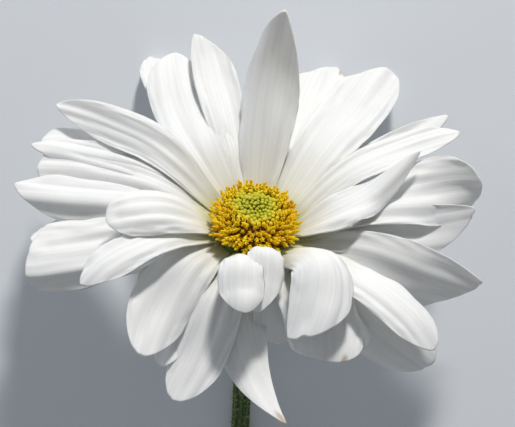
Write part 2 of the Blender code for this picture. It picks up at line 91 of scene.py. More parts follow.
# Disc
DISC_RADIUS = 5.9
DISC_RIM, DISC_TOP, DOME_POWER = 2.1, 4.7, 0.7  # heights of the dome, and how full it is
CORE_DROP, CORE_BOTTOM = 0.12, 1.65  # how far the core lies under the dome, and its lowest height
CORE_SIDES, CORE_LEVELS = 72, 11
BUD_ZONE = 3.3              # radius of the closed middle
BUD_SHIFT = 0.7             # how far the closed middle lies toward the back
RIM_INSET = 0.5             # how far the outermost florets are set back inward
FEET_RADIUS = 5.8           # florets farther out than this stand no lower than here
INNER_LEAN, RIM_LEAN = 0.15, 0.70  # outward lean of the florets, in radians
BACK_LIFT = 0.30            # how much less the rim's florets lean at the back, and more in front
FRONT_GROWTH, BACK_GROWTH = 0.55, 0.45  # extra length of the rim's florets at the front and back
LOBES = 5
LOBE_LIFT = 0.16            # how far the lobes of an open floret rise, as a share of its length

# Rows of a floret or bud: height as a share of its length, radius as a share of its size, how far
# its lobes stand out, and its colour's place from base to tip
FLORET_TUBE = ((-0.45, 0.153, 0.0, 0.0), (0.05, 0.17, 0.0, 0.05), (0.38, 0.2295, 0.02, 0.3))
CLOSED_TOP = ((0.62, 0.34, 0.02, 0.55), (0.86, 0.30, 0.06, 0.75), (0.98, 0.16, 0.05, 0.95))
OPEN_TOP = ((0.80, 0.30, 0.03, 0.55), (0.92, 0.345, 0.34, 0.8), (0.90, 0.246, 0.30, 0.7),
            (0.72, 0.161, 0.0, 0.3), (0.95, 0.14, 0.0, 0.8), (1.12, 0.175, 0.0, 0.95),
            (1.22, 0.105, 0.1, 1.0))
BUD = ((-0.5, 0.62, 0.0, 0.0), (0.0, 0.78, 0.0, 0.1), (0.30, 1.0, 0.03, 0.35),
       (0.62, 0.92, 0.06, 0.6), (0.86, 0.62, 0.10, 0.8), (0.93, 0.22, 0.12, 0.9))
BUD_LENGTH = 1.5            # as a share of its size

# Green cup
CUP_RIM_RADIUS, CUP_RIM_HEIGHT = 6.2, -1.9
NECK_RADIUS, NECK_HEIGHT = 1.6, -7.0
CUP_FOOT = -6.0             # height where the cup begins to widen
CUP_SIDES = 96
# Rows of bracts: where they begin and end from the neck (0) to the rim (1), their width and number
BRACT_ROWS = ((0.02, 0.55, 2.3, 13), (0.16, 0.80, 2.5, 15), (0.36, 1.06, 2.6, 17))
BRACT_FACE = (0.75, -0.66)  # direction that a bract faces, outward and along the head's axis
BRACT_GRID = (12, 9)
BRACT_THICKNESS = 0.34

# Stem
STEM_RADIUS = 1.3
STEM_RIBS, RIB_DEPTH = 8, 0.06  # the depth is a share of the radius
STEM_GAP = 0.3              # how far under the neck's end the stem begins
TOUCHDOWN, STEM_END = (-2.25, -35.0), (-6.0, -92.0)  # where it meets the surface and is cut
STEM_BOW = 0.9              # sideways bow of the run on the surface
NECK_PULL, LANDING_PULL = 11.0, 12.0  # handle lengths of the neck's curve
NECK_STEPS, RUN_STEPS = 46, 60
NECK_SWELL, SWELL_STEPS = 0.16, 9  # how much thicker the stem is at the neck, and for how long
UNEVENNESS = 0.03           # of the stem's radius, as a share
STEM_SEED = 7               # added to the seed, so that stem and cup draw apart
STEM_SIDES = 48
CUT_RINGS = ((0.93, 0.02), (0.72, 0.08), (0.35, 0.10), (0.02, 0.07))  # share of the radius, depth
HAIR_RINGS = ((0.0, 0.028), (0.55, 0.018), (1.0, 0.004))  # share of the length, radius
HAIR_CLEARANCE = 0.1        # least height of a hair's end over the surface

# Camera: straight above, where the photograph's frame is 515 pixels of 0.15 mm at the head
PHOTO_WIDTH = 515
PIXEL = 0.15
CAMERA_SHIFT = (0.675, 2.625)  # middle of the frame from the head's centre
CAMERA_HEIGHT = 600.0       # above the head's centre
SENSOR = 36.0

GOLDEN_ANGLE = math.pi * (3.0 - math.sqrt(5.0))

# A fold turns the outer part of a blade toward its face: side -1 left or 1 right, where across
# the half width it starts and ends, degrees, where along the ray it begins and is full, and
# where it eases and is gone.
Fold = namedtuple("Fold", "side start end turn begin full ease gone", defaults=(2.0, 3.0))

# A crease is a furrow along the blade: where across it, how wide as a share of the half width, how
# deep in millimetres, and where along the ray it begins and ends.
Crease = namedtuple("Crease", "across wide depth begin end", defaults=(0.12, 0.97))

# A notch is a dent in the tip's outline: where across, how wide, and its depth as a share of the length
Notch = namedtuple("Notch", "across wide depth")

# A mark is a small brown bruise: where along and across the ray, and how large
Mark = namedtuple("Mark", "along across size")


@dataclass
class Ray:
    """One ray petal. Turns are in degrees, and a share is of the ray's length."""

    name: str
    row: str                # which row on the head it grows in
    azimuth: float          # where round the head's axis it grows
    middle: tuple           # the midrib half way along
    tip: tuple              # the midrib's end
    width: float
    roll: tuple             # turn about the midrib, half way along and at the tip
    edges: tuple            # turn of the left and the right edge toward the face
    belly: float            # share at which it is widest
    tip_share: float        # share by which the tip's outline cuts back the edges
    pointed: float          # 0 for an oval tip and 1 for a pointed one
    skew: float             # where across the blade its far end lies
    curl: float             # how far the tip bends away from its face, in millimetres
    folds: tuple = ()
    creases: tuple = ()
    notches: tuple = ()
    marks: tuple = ()
    grooves: int = 3        # number of fine grooves
    wave: float = 0.35      # height of the small waves at its edges, in millimetres
    arch: float = 1.0       # how far it rises after its root, in millimetres
    channel: float = 25.0   # turn of both halves toward the face at the root

    def __post_init__(self):
        self.root = on_head(ROOT_RADIUS, math.radians(self.azimuth), ROW_HEIGHT[self.row])
        self.middle, self.tip = Vector(self.middle), Vector(self.tip)

    def length_share(self, along, across):
        """How far along its midrib a point is, after the tip's outline is cut."""
        side = 1.0 if across > self.skew else -1.0
        edge = min(abs((across - self.skew) / (1.0 - side * self.skew)), 1.0)
        oval = 1.0 - math.sqrt(1.0 - edge ** OVAL_POWER)
        cut = self.tip_share * ((1.0 - self.pointed) * oval + self.pointed * edge ** POINT_POWER)
        return along * (1.0 - cut)

    def section_turn(self, t, side, reach):
        """Degrees that the blade has turned toward its face at a share of the half width."""
        edge = self.edges[0] if side < 0 else self.edges[1]
        edge *= EDGE_ROLL_START + (1 - EDGE_ROLL_START) * smooth_step(t, 0.0, 0.5)
        turn = reach * (edge + self.channel * smooth_step(t, CHANNEL_END, 0.0))
        for fold in self.folds:
            if fold.side == side and reach > fold.start:
                grown = smooth_step(t, fold.begin, fold.full) * smooth_step(t, fold.gone, fold.ease)
                turn += fold.turn * grown * smooth_step(reach, fold.start, fold.end)
        return turn

    def point(self, along, across):
        """A point of the blade's middle surface, and how far along the midrib it is."""
        t = self.length_share(along, across)
        centre = (self.root * ((1 - t) * (1 - 2 * t)) + self.middle * (4 * t * (1 - t))
                  + self.tip * (t * (2 * t - 1)))
        centre += AXIS * (self.arch * math.sin(math.pi * min(t / ARCH_END, 1.0)) ** 2)
        run = (self.root * (4 * t - 3) + self.middle * (4 - 8 * t) + self.tip * (4 * t - 1)).normalized()
        face = (AXIS - run * AXIS.dot(run)).normalized()
        roll = 4 * t * (1 - t) * self.roll[0] + t * (2 * t - 1) * self.roll[1]
        face = Matrix.Rotation(math.radians(roll), 3, run) @ face
        right = run.cross(face)

        rise = math.sin(0.5 * math.pi * min(t / self.belly, 1.0))
        fall = max((t - self.belly) / (1.0 - self.belly), 0.0)
        half = 0.5 * self.width * (ROOT_SHARE + (1 - ROOT_SHARE) * rise)
        half *= 1 - (1 - END_WIDTH) * fall ** 2

        side = 1.0 if across > 0 else -1.0
        reach = abs(across)
        out = up = 0.0
        for step in range(TURN_STEPS):
            turn = math.radians(self.section_turn(t, side, reach * (step + 0.5) / TURN_STEPS))
            out += math.cos(turn)
            up += math.sin(turn)
        out *= half * reach / TURN_STEPS
        up *= half * reach / TURN_STEPS
        up -= self.curl * max((t - CURL_START) / (1 - CURL_START), 0.0) ** 2
        return centre + right * (side * out) + face * up, t

    def bruise(self, t, across):
        """How bruised the blade is at a point."""
        return sum(bell(2 * (t - mark.along), mark.size) * bell(across - mark.across, mark.size)
                   for mark in self.marks)


def spoke(across, other, angle):
    """A direction in the plane of two others, at an angle from the first."""
    return across * math.cos(angle) + other * math.sin(angle)


def on_head(radius, azimuth, height):
    """A point given by its place round and along the head's axis."""
    return spoke(SIDE, BACK, azimuth) * radius + AXIS * height


def head_ring(radius, height, sides):
    """Points of a circle round the head's axis."""
    return [on_head(radius, math.tau * i / sides, height) for i in range(sides)]


def smooth_step(x, start=0.0, end=1.0):
    """0 at the start and 1 at the end, smooth between and level beyond."""
    x = min(max((x - start) / (end - start), 0.0), 1.0)
    return x * x * (3.0 - 2.0 * x)


def bell(distance, wide):
    return math.exp(-(distance / wide) ** 2)


def spaced(count, low=-1.0, high=1.0):
    """Evenly spaced numbers."""
    return [low + (high - low) * i / (count - 1) for i in range(count)]


RAYS = (
    Ray("p01", "middle", 88, (1.6, 17.6, -6.5), (4.4, 33.4, -1.5), 10.4, (0, 0), (-25, 10), 0.62, 0.46,
        0.35, 0.1, 0, arch=1.2, folds=(Fold(-1, 0.2, 0.4, -40, 0, 0.2),)),
    Ray("p02", "outer", 104, (-4.6, 17.8, -10.5), (-7.6, 30.4, -16.5), 7, (0, 0), (20, 20), 0.66, 0.28,
        0.35, -0.5, 0, creases=(Crease(0.35, 0.16, 0.5), Crease(-0.25, 0.2, 0.4))),
    Ray("p03a", "outer", 124, (-10.4, 15.6, -11.5), (-15.9, 26.8, -19.6), 6.6, (0, 0), (15, 15), 0.72,
        0.16, 0.2, 0, 0),
    Ray("p03b", "middle", 118, (-9.4, 15, -8), (-12.6, 27.2, -16.6), 9.2, (0, -6), (-10, -10), 0.72,
        0.2, 0.1, 0.1, 0, arch=1.3, notches=(Notch(0.1, 0.3, -0.012),)),
    Ray("p03c", "middle", 112, (-5.9, 14.8, -9.2), (-9.3, 25.4, -17.2), 5.4, (0, 0), (25, -10), 0.7,
        0.24, 0.4, -0.1, 0, arch=0.8),
    Ray("p04", "middle", 148, (-16.6, 13.3, -4.5), (-30.1, 18.8, -9), 6.2, (-32, -28), (-5, 5), 0.58,
        0.36, 0.3, 0.15, 0, grooves=2, arch=1.2),
    Ray("p05", "outer", 152, (-19, 11.1, -5.8), (-32.3, 13.7, -8.8), 6.8, (0, 0), (10, -10), 0.7, 0.16,
        0.2, 0, 0, grooves=2),
    Ray("p06", "middle", 160, (-19.4, 9.5, -3.6), (-33.7, 12.8, -6), 6, (-9, -12), (-30, -10), 0.6,
        0.34, 0.4, 0.1, 0),
    Ray("p07", "outer", 166, (-17.8, 7.3, -2.2), (-32.6, 9.7, -4.4), 7.8, (-17, -13), (-14, -15), 0.7,
        0.1, 0.1, 0, 0, grooves=4, folds=(Fold(-1, 0.02, 0.3, -30, 0.2, 0.4),)),
    Ray("p08", "middle", 174, (-20.8, 4.2, 0), (-36.1, 5.9, -1.5), 9, (-9, -12), (-20, -24), 0.72, 0.36,
        0.3, 0.3, 0, creases=(Crease(0.4, 0.13, 0.4, 0.35),),
        folds=(Fold(-1, 0, 0.4, -42, 0.15, 0.35),)),
    Ray("p09", "outer", 182, (-19, 0.4, -0.5), (-33.4, -1.3, 0), 7.5, (10, 10), (10, 10), 0.65, 0.2,
        0.2, 0, 0, grooves=2),
    Ray("p10", "inner", 186, (-14, 2.9, 7), (-21.9, 2.9, 9.6), 8.4, (-11, -13), (-32, -28), 0.55, 0.34,
        0.1, 0, 2, grooves=2, creases=(Crease(-0.2, 0.2, 0.45), Crease(0.35, 0.14, 0.2))),
    Ray("p11", "middle", 192, (-19.8, -2.4, 3.6), (-34.2, -4.5, 5), 12.2, (-17, -21), (0, -18), 0.9,
        0.22, 0.1, -0.55, 0, grooves=4, wave=0.5, creases=(Crease(0.3, 0.14, 0.45, 0.3),),
        folds=(Fold(-1, 0.42, 0.55, -55, 0.35, 0.55),)),
    Ray("p12", "middle", 198, (-16.4, -2.2, 9.4), (-25.6, -7.2, 13.8), 6.6, (0, 0), (-25, -20), 0.62,
        0.34, 0.3, 0, 1.5, grooves=2, creases=(Crease(0.5, 0.12, 0.35),)),
    Ray("p13", "outer", 208, (-11.3, -4.5, 2.5), (-16.8, -8.7, 5), 5.6, (0, 0), (20, 20), 0.6, 0.25,
        0.3, 0, 0),
    Ray("p14", "middle", 222, (-11.4, -7.8, 7.6), (-16.5, -18.7, 12), 9.6, (-16, -20), (-24, -18), 0.6,
        0.28, 0.2, 0.1, -1.5),
    Ray("p15", "outer", 230, (-9.05, -9.55, 5), (-13.5, -20, 9.5), 6.5, (0, 0), (10, 10), 0.6, 0.25,
        0.2, 0, 0),
    Ray("p16", "outer", 244, (-6.2, -13.7, 8.2), (-11.3, -25.1, 9.6), 8.8, (0, 0), (-15, -22), 0.65,
        0.28, 0.1, 0, -1.5),
    Ray("p17", "outer", 256, (-1.8, -17.2, 8), (5.1, -28.3, 14), 9.2, (0, 0), (-5, -72), 0.58, 0.62,
        0.9, 0, 0, grooves=1, marks=(Mark(0.97, 0, 0.14),)),
    Ray("p18a", "inner", 250, (-1.7, -6.4, 12.4), (-1.5, -11, 17.2), 7.8, (0, 0), (-52, -48), 0.66, 0.5,
        0.1, -0.1, 1.8, grooves=0, arch=2.2, channel=-40),
    Ray("p18b", "inner", 278, (1.5, -4.9, 9.9), (0.8, -11.4, 14.5), 7.2, (0, 4), (-50, -46), 0.66, 0.46,
        0.25, 0.1, 1.6, grooves=1, arch=2.2, channel=-30),
    Ray("p19", "inner", 308, (10.2, -6.2, 11.5), (7.2, -15.9, 17.6), 10.7, (0, 0), (-45, -38), 0.72,
        0.42, 0.15, 0.6, 2, grooves=0, arch=1.7, channel=-30, notches=(Notch(0.15, 0.14, 0.02),),
        creases=(Crease(-0.6, 0.1, 0.35), Crease(0.25, 0.12, 0.35, 0.7))),
    Ray("p20", "middle", 300, (9.5, -11, 9), (10.9, -18.1, 14), 12, (0, 0), (-30, -40), 0.62, 0.2, 0.1,
        0, 2, grooves=1, marks=(Mark(0.97, -0.5, 0.12),)),
    Ray("p20b", "outer", 312, (11.1, -9.7, 5), (16.4, -17.6, 8), 6.5, (0, 0), (-20, -20), 0.65, 0.25,
        0.2, 0, 0),
    Ray("p21", "middle", 280, (3.3, -9.6, 6), (3.6, -16.8, 6.6), 8, (0, 0), (12, 12), 0.65, 0.25, 0.2,
        0, 0, grooves=1),
    Ray("p22", "middle", 322, (18, -8.5, 9.4), (27.6, -16.3, 13.4), 8.2, (-8, -8), (-25, -30), 0.62,
        0.28, 0.2, 0, 2.2, grooves=1, creases=(Crease(-0.55, 0.1, 0.3),)),
    Ray("p23", "outer", 316, (14.6, -11, 4.5), (26.6, -19.9, 5.5), 11.6, (22, 50), (-10, -56), 0.7,
        0.24, 0.2, -0.1, 0, grooves=4),
    Ray("p24", "outer", 340, (18.8, -5.8, 1.5), (33.6, -10, 0), 11, (46, 80), (-5, -12), 0.76, 0.36,
        0.6, -0.6, 0),
    Ray("p25", "middle", 352, (19.2, -0.9, -1), (33.8, 1.8, -4), 7.8, (16, 58), (15, -12), 0.7, 0.32,
        0.3, -0.5, 0, grooves=2),
    Ray("p26", "outer", 4, (21.2, 4.5, -2.4), (34.6, 6.7, -3.6), 10.6, (8, 84), (-5, -12), 0.76, 0.24,
        0.1, 0, 0, grooves=6),
    Ray("p27a", "middle", 20, (17.2, 10, -4), (31.4, 14.8, -7), 5.8, (0, 10), (-15, -15), 0.6, 0.3,
        0.25, 0, 0),
    Ray("p27b", "inner", 8, (14.8, 3.2, 0.4), (24.8, 12.4, -1.5), 7, (0, 0), (-10, 10), 0.5, 0.58, 0.7,
        0.2, 0, grooves=1, arch=1.6, folds=(Fold(1, 0.05, 0.3, -55, 0.45, 0.7),)),
    Ray("p28", "outer", 28, (17, 9.6, -8.5), (29.8, 17.5, -12), 5.8, (0, 10), (20, 20), 0.45, 0.5, 0.15,
        0, 0, grooves=1),
    Ray("p29", "middle", 54, (12.2, 14, -10), (20.3, 25.1, -17.6), 10, (0, 0), (10, 10), 0.72, 0.18,
        0.1, 0.3, 0, grooves=7, arch=1.4, notches=(Notch(-0.75, 0.4, 0.06),)),
    Ray("p30", "outer", 68, (7.6, 16.4, -12.8), (11.4, 25.6, -20), 11.2, (0, 0), (20, 15), 0.72, 0.36,
        0.5, 0.35, 0, grooves=4, arch=0.5, folds=(Fold(-1, 0.65, 0.8, 90, 0, 0.3),),
        marks=(Mark(0.96, 0.5, 0.09),)),
)


class Skin:
    """Collects the points and faces of one piece, with named values that its finish reads."""

    def __init__(self, *values):
        self.points, self.faces = [], []
        self.values = {name: [] for name in values}

    def ring(self, points, **values):
        """Add a row of points. A value is one number for all of them or a list."""
        start = len(self.points)
        self.points += points
        for name, stored in self.values.items():
            value = values.get(name, 0.0)
            stored += value if isinstance(value, list) else [value] * len(points)
        return list(range(start, len(self.points)))

    def band(self, low, high, closed=True):
        """Join two rows of points with quads."""
        for i in range(len(low) if closed else len(low) - 1):
            k = (i + 1) % len(low)
            self.faces.append((low[i], low[k], high[k], high[i]))

    def tube(self, rings, capped=True):
        for low, high in zip(rings, rings[1:]):
            self.band(low, high)
        if capped:
            self.faces += [tuple(reversed(rings[0])), tuple(rings[-1])]

    def sheet(self, places, lifts, values):
        """Add a thin closed sheet over a grid, with a lift and a thickness at each point."""
        layers = []
        for under in (0.0, 1.0):
            layer = []
            for row, normals, row_lifts, row_values in zip(places, sheet_normals(places), lifts, values):
                points = [point + normal * (lift + (0.5 - under) * thick)
                          for point, normal, (lift, thick) in zip(row, normals, row_lifts)]
                layer.append(self.ring(points, under=under, **row_values))
            layers.append(layer)
        top, bottom = layers
        for low, high in zip(top, top[1:]):
            self.band(low, high, closed=False)
        for low, high in zip(bottom, bottom[1:]):
            self.band(high, low, closed=False)
        self.band(bottom[0], top[0], closed=False)
        self.band(top[-1], bottom[-1], closed=False)
        for i in range(len(places) - 1):
            self.faces.append((top[i][0], top[i + 1][0], bottom[i + 1][0], bottom[i][0]))
            self.faces.append((bottom[i][-1], bottom[i + 1][-1], top[i + 1][-1], top[i][-1]))

    def made(self, name, finish, nodes, slot):
        """Make the piece, in metres and in the part's frame, and hang it on the frame."""
        data = bpy.data.meshes.new(name)
        data.from_pydata([(point + HEAD) * MM for point in self.points], [], self.faces)
        for value, stored in self.values.items():
            data.attributes.new(value, "FLOAT", "POINT").data.foreach_set("value", stored)
        data.shade_smooth()
        data.materials.append(finish)
        piece = placed(name, data)
        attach(piece, "root")
        if nodes:
            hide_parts(*nodes)


def sheet_normals(places):
    """Face direction at each point of a grid, from its neighbours."""
    rows, columns = len(places) - 1, len(places[0]) - 1
    normals = []
    for i, row in enumerate(places):
        low, high = places[max(i - 1, 0)], places[min(i + 1, rows)]
        rights = [row[min(j + 1, columns)] - row[max(j - 1, 0)] for j in range(columns + 1)]
        normals.append([right.cross(high[j] - low[j]).normalized() for j, right in enumerate(rights)])
    return normals


def placed(name, data):
    """A new object in the scene."""
    made = bpy.data.objects.new(name, data)
    bpy.context.scene.collection.objects.link(made)
    return made


class Wire:
    """A number that changes over a surface. Arithmetic on it adds Math nodes."""

    def __init__(self, finish, socket):
        self.finish, self.socket = finish, socket

    def math(self, operation, first, second):
        made = self.finish.node("ShaderNodeMath", {0: first, 1: second}, operation=operation)
        return Wire(self.finish, made.outputs[0])

    def __add__(self, other):
        return self.math("ADD", self, other)

    def __radd__(self, other):
        return self.math("ADD", other, self)

    def __sub__(self, other):
        return self.math("SUBTRACT", self, other)

    def __rsub__(self, other):
        return self.math("SUBTRACT", other, self)

    def __mul__(self, other):
        return self.math("MULTIPLY", self, other)

    def __rmul__(self, other):
        return self.math("MULTIPLY", other, self)


class Finish:
    """One material: its constants, and the nodes that feed what changes over the surface."""

    def __init__(self, name, constants):
        self.material = bpy.data.materials.new(name)
        self.material.use_nodes = True
        self.tree = self.material.node_tree
        self.shader = self.tree.nodes["Principled BSDF"]
        for socket, value in constants.items():
            self.shader.inputs[socket].default_value = value

    def node(self, kind, inputs=None, **settings):
        """Add a node, set its settings first, then the values or links of its sockets."""
        made = self.tree.nodes.new(kind)
        for setting, value in settings.items():
            setattr(made, setting, value)
        for socket, value in (inputs or {}).items():
            if isinstance(value, Wire):
                value = value.socket
            if isinstance(value, bpy.types.NodeSocket):
                self.tree.links.new(value, made.inputs[socket])
            else:
                made.inputs[socket].default_value = value
        return made

    def value(self, name):
        """A value stored on the mesh."""
        return Wire(self, self.node("ShaderNodeAttribute", attribute_name=name).outputs["Fac"])

    def grain(self, scale, detail=2.0, roughness=0.5, place=None):
        """Noise around one half, in the solid or at a place made from numbers."""
        if place:
            vector = self.node("ShaderNodeCombineXYZ", dict(enumerate(place))).outputs[0]
        else:
            vector = self.node("ShaderNodeTexCoord").outputs["Object"]
        inputs = {"Vector": vector, "Scale": scale, "Detail": detail, "Roughness": roughness}
        return Wire(self, self.node("ShaderNodeTexNoise", inputs).outputs["Fac"])

    def ramp(self, value, low, high):
        """0 below low and 1 above high, smooth between, or the other way round if low is above high."""
        inputs = {"Value": value, "From Min": low, "From Max": high}
        made = self.node("ShaderNodeMapRange", inputs, interpolation_type="SMOOTHSTEP")
        return Wire(self, made.outputs["Result"])

    def mix(self, share, first, second):
        """A colour between two colours, each from a setting or from another mix."""
        inputs = {"Factor": share, 6: opaque(first), 7: opaque(second)}
        return self.node("ShaderNodeMix", inputs, data_type="RGBA").outputs[2]

    def feed(self, name, value):
        source = value.socket if isinstance(value, Wire) else value
        self.tree.links.new(source, self.shader.inputs[name])

    def bump(self, height, strength, distance):
        inputs = {"Height": height, "Strength": strength, "Distance": distance}
        self.feed("Normal", self.node("ShaderNodeBump", inputs).outputs[0])


def opaque(colour):
    """A colour with its alpha. A socket is passed on as it is."""
    return colour if isinstance(colour, bpy.types.NodeSocket) else (*colour[:3], 1.0)


def petal_finish(settings):
    """White petal flesh: lengthwise veins, a green-gold root, a warm tint near the disc that is partly
    painted shade, soft grain and a few bruises.
    """
    finish = Finish("petal_flesh", {
        "Subsurface Weight": 0.45, "Subsurface Radius": (1.0, 0.9, 0.72), "Subsurface Scale": 0.0008,
        "Specular IOR Level": 0.32, "Sheen Weight": 0.08})
    along, across, tone = map(finish.value, ("along", "across", "tone"))
    streaks = finish.grain(1.0, 3.0, 0.55, (across * 11.0, along * 0.9, tone * 37.0))
    fine = finish.grain(1.0, place=(across * 46.0, along * 3.0, tone * 53.0))
    mottle = finish.grain(260.0, 3.0, 0.6)
    white = finish.mix(finish.ramp(streaks, 0.25, 0.75), settings.shade, settings.white)
    white = finish.mix(finish.ramp(mottle, 0.3, 0.8) * 0.35, white, settings.shade)
    white = finish.mix(finish.value("under") * 0.5, white, settings.underside)
    # Warm tint over the half nearer the disc: partly the petal's own warmth, partly painted shade from
    # the disc and the bowl of petals
    throat_tint_and_shade = finish.ramp(along + (streaks - 0.5) * 0.3, 0.46, 0.08)
    white = finish.mix(throat_tint_and_shade * 0.55, white, settings.throat_tint_and_shade)
    root = finish.ramp(along + (streaks - 0.5) * 0.12, 0.17, 0.015)
    colour = finish.mix(root * 0.85, white, settings.root)
    bruise = finish.ramp(finish.value("bruise") + (mottle - 0.5) * 0.9, 0.25, 0.8)
    finish.feed("Base Color", finish.mix(bruise * 0.7, colour, settings.bruise))
    finish.feed("Roughness", 0.44 + fine * 0.16)
    finish.bump(streaks * 0.6 + fine * 0.4, 0.35, 0.00012)
    return finish.material


def relief(ray, furrows, offset, settings, t, across):
    """How far a point of a ray stands off its smooth blade."""

    def uneven(pattern):
        return noise.noise(Vector((pattern[0] * across, pattern[1] * t, pattern[2])) + offset)

    dents = sum(furrow.depth * bell(across - furrow.across, furrow.wide)
                * smooth_step(t, furrow.begin, furrow.begin + FURROW_IN)
                * smooth_step(t, furrow.end, furrow.end - FURROW_OUT) for furrow in furrows)
    ribs = settings.rib * uneven(RIB_PATTERN) * min(ray.grooves / 4, 1.0)
    waves = settings.crumple * uneven(CRUMPLE_PATTERN)
    waves += ray.wave * uneven(EDGE_PATTERN) * abs(across) ** 3
    return ribs * smooth_step(t, 0.04, 0.34) + waves * smooth_step(t, 0.0, 0.4) - dents


def make_ray(ray, index, finish, settings):
    """One petal as a thin closed sheet with grooves, waved edges and a notched tip."""
    chance = random.Random(RAY_SEED + index)
    offset = Vector((3.1 * index, 1.7 * index, 0.6 * index))
    furrows = list(ray.creases)
    for k in range(ray.grooves):
        at = GROOVE_SPREAD * (2 * (k + chance.uniform(0.1, 0.9)) / ray.grooves - 1)
        furrows.append(Crease(at, chance.uniform(0.05, 0.15), settings.groove * chance.uniform(0.2, 1.0),
                              chance.uniform(0.0, 0.35), chance.uniform(0.75, 1.05)))
    notches = list(ray.notches)
    for _ in range(SMALL_NOTCHES):
        notches.append(Notch(chance.uniform(-0.6, 0.6), chance.uniform(0.06, 0.12),
                             settings.notch * chance.uniform(0.2, 1.0)))
    acrosses = [(1 - EDGE_PACKING) * x + EDGE_PACKING * math.sin(0.5 * math.pi * x)
                for x in spaced(RAY_COLUMNS)]
    cuts = [sum(notch.depth * bell(across - notch.across, notch.wide) for notch in notches)
            for across in acrosses]

    places, lifts, values = [], [], []
    for x in spaced(RAY_ROWS, 0, 1):
        along = 1 - (1 - x) ** ROW_PACKING
        notched = smooth_step(along, NOTCH_START, 1.0)
        spots = [ray.point(along * (1 - notched * cut), across) for cut, across in zip(cuts, acrosses)]
        shares = [t for _, t in spots]
        places.append([point for point, _ in spots])
        lifts.append([(relief(ray, furrows, offset, settings, t, across),
                       settings.thickness * (1 - EDGE_THINNING * across ** 2)
                       * (ROOT_THICKNESS + (TIP_THICKNESS - ROOT_THICKNESS) * t))
                      for t, across in zip(shares, acrosses)])
        values.append({"along": shares, "across": acrosses, "tone": index / len(RAYS),
                       "bruise": [ray.bruise(t, across) for t, across in zip(shares, acrosses)]})
    skin = Skin("along", "across", "tone", "under", "bruise")
    skin.sheet(places, lifts, values)
    skin.made("ray_" + ray.name, finish, ("ray_petals",), "ray_petals")


def dome_height(radius):
    return DISC_RIM + (DISC_TOP - DISC_RIM) * (1.0 - (min(radius / DISC_RADIUS, 1.0)) ** 2) ** DOME_POWER


def dome_out(radius):
    """How far the dome's surface direction leans outward, in radians."""
    step = 0.05
    inner = min(radius, DISC_RADIUS - 2 * step)
    return math.atan2(dome_height(inner) - dome_height(inner + step), step)


def disc_core(skin, inner, outer):
    """The dome that the florets stand on, between two radii."""
    profile = [(radius, dome_height(radius) - CORE_DROP) for radius in spaced(CORE_LEVELS, inner, outer)]
    rings = []
    for radius, height in [(inner, CORE_BOTTOM), *profile, (outer, CORE_BOTTOM)]:
        ring = head_ring(radius, height, CORE_SIDES)
        # A grown value of -1 colours the dome fully with its finish's painted pit shade
        rings.append(skin.ring(ring, grown=-1.0, tone=0.5, ripe=smooth_step(radius, 3.0, 4.2)))
    skin.tube(rings, capped=False)
    skin.band(rings[-1], rings[0])


def lobed_tube(skin, rows, base, direction, spin, size, length, lobe_lift, tone, ripe):
    """A floret or bud: a capped tube whose sides are lobes, as far as its rows say."""
    across = direction.orthogonal().normalized()
    other = direction.cross(across)
    rings = []
    for height, radius, spread, grown in rows:
        points = []
        for k in range(2 * LOBES):
            lobe = spread if k % 2 else -spread
            reach = size * radius * (1 + lobe)
            points.append(base + direction * (height * length + lobe_lift * lobe)
                          + spoke(across, other, spin + math.pi * k / LOBES) * reach)
        rings.append(skin.ring(points, grown=grown, tone=tone, ripe=ripe))
    skin.tube(rings)


def floret_finish(settings):
    """Golden florets: roots and the gaps between them darkened as painted shade, orange anther tips, and
    no two quite alike.
    """
    finish = Finish("floret_gold", {
        "Subsurface Weight": 0.3, "Subsurface Radius": (1.0, 0.8, 0.15), "Subsurface Scale": 0.0004,
        "Specular IOR Level": 0.35})
    grown, tone, ripe = map(finish.value, ("grown", "tone", "ripe"))
    speck = finish.grain(2600.0)
    gold = finish.mix(tone, settings.gold, settings.yellow)
    gold = finish.mix(finish.ramp(ripe, 0.45, 0.0) * 0.8, gold, settings.young)
    tips = finish.ramp(grown, 0.8, 1.0) * finish.ramp(ripe, 0.2, 0.8)
    gold = finish.mix(tips * 0.6, gold, settings.anther)
    # Painted shade: the lower half of each floret and the dome between them are darkened toward the pit
    # colour
    gold = finish.mix(finish.ramp(grown, 0.5, 0.0), gold, settings.pit_shade)
    finish.feed("Base Color", finish.mix(finish.ramp(speck, 0.45, 0.8) * 0.2, gold, settings.anther))
    finish.feed("Roughness", 0.42 + speck * 0.2)
    finish.bump(speck, 0.4, 0.00005)
    return finish.material


def bud_finish(settings):
    """Yellow-green buds: waxy, with a painted highlight on each top and painted shade between them."""
    finish = Finish("bud_green", {
        "Subsurface Weight": 0.3, "Subsurface Radius": (0.8, 1.0, 0.2), "Subsurface Scale": 0.0003,
        "Specular IOR Level": 0.4})
    grown, tone, ripe = map(finish.value, ("grown", "tone", "ripe"))
    green = finish.mix(tone, settings.bud, settings.bud_light_and_highlight)
    green = finish.mix(finish.ramp(ripe, 0.35, 1.0) * 0.7, green, settings.young)
    # Painted highlight: the top of each bud is lightened
    green = finish.mix(finish.ramp(grown, 0.65, 0.95) * 0.45, green, settings.bud_light_and_highlight)
    # Painted shade: the lower half of each bud and the dome between the buds are darkened
    finish.feed("Base Color", finish.mix(finish.ramp(grown, 0.4, 0.0), green, settings.bud_pit_shade))
    finish.feed("Roughness", 0.36 + finish.grain(1800.0) * 0.2)
    return finish.material


